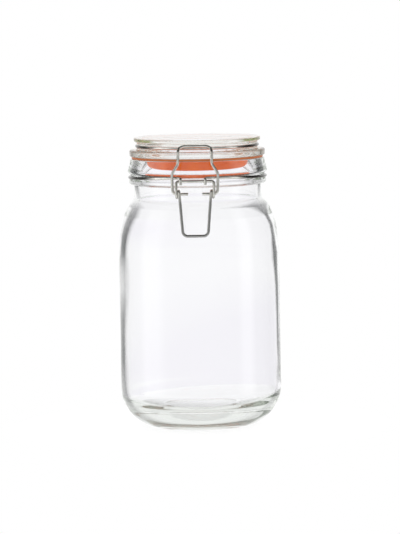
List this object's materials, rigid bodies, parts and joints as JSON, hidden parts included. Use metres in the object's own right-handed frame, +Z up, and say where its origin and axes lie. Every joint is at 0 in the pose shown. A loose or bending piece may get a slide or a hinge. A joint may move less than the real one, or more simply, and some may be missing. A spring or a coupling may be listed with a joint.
{
  "type": "clip-top preserving jar",
  "caption": "Empty round glass preserving jar with a hinged glass lid, an orange rubber sealing ring and a wire clip that locks the lid shut.",
  "frame": {"origin": "centre of the base, on the plane that the jar stands on", "axes": "+Z up along the jar's axis, -Y towards the front, where the clip is, +X to the right seen from the front"},
  "size_m": [0.119, 0.1203, 0.2154],
  "materials": {
    "jar_glass": "clear pressed glass, polished",
    "lid_glass": "clear pressed glass, polished",
    "ring_rubber": "smooth orange rubber, semi-matt",
    "clip_wire": "bright drawn steel wire"
  },
  "bodies": {
    "jar": {"jar_body": "jar_glass", "lid": "lid_glass", "sealing_ring": "ring_rubber", "lid_wire": "clip_wire", "neck_wire": "clip_wire"},
    "lever": {"lever": "clip_wire"},
    "bail": {"bail": "clip_wire"}
  },
  "joints": [
    {"name": "lever_swing", "type": "hinge", "parent": "jar", "child": "lever", "pos_m": [0, -0.0542, 0.1858], "axis": [-1, 0, 0], "range_deg": [0, 130]},
    {"name": "bail_swing", "type": "hinge", "parent": "lever", "child": "bail", "pos_m": [0, -0.055, 0.1766], "axis": [-1, 0, 0], "range_deg": [-175, 0]}
  ],
  "couplings": [
    {"joint": "bail_swing", "follows": "lever_swing", "ratio": -1.3}
  ]
}
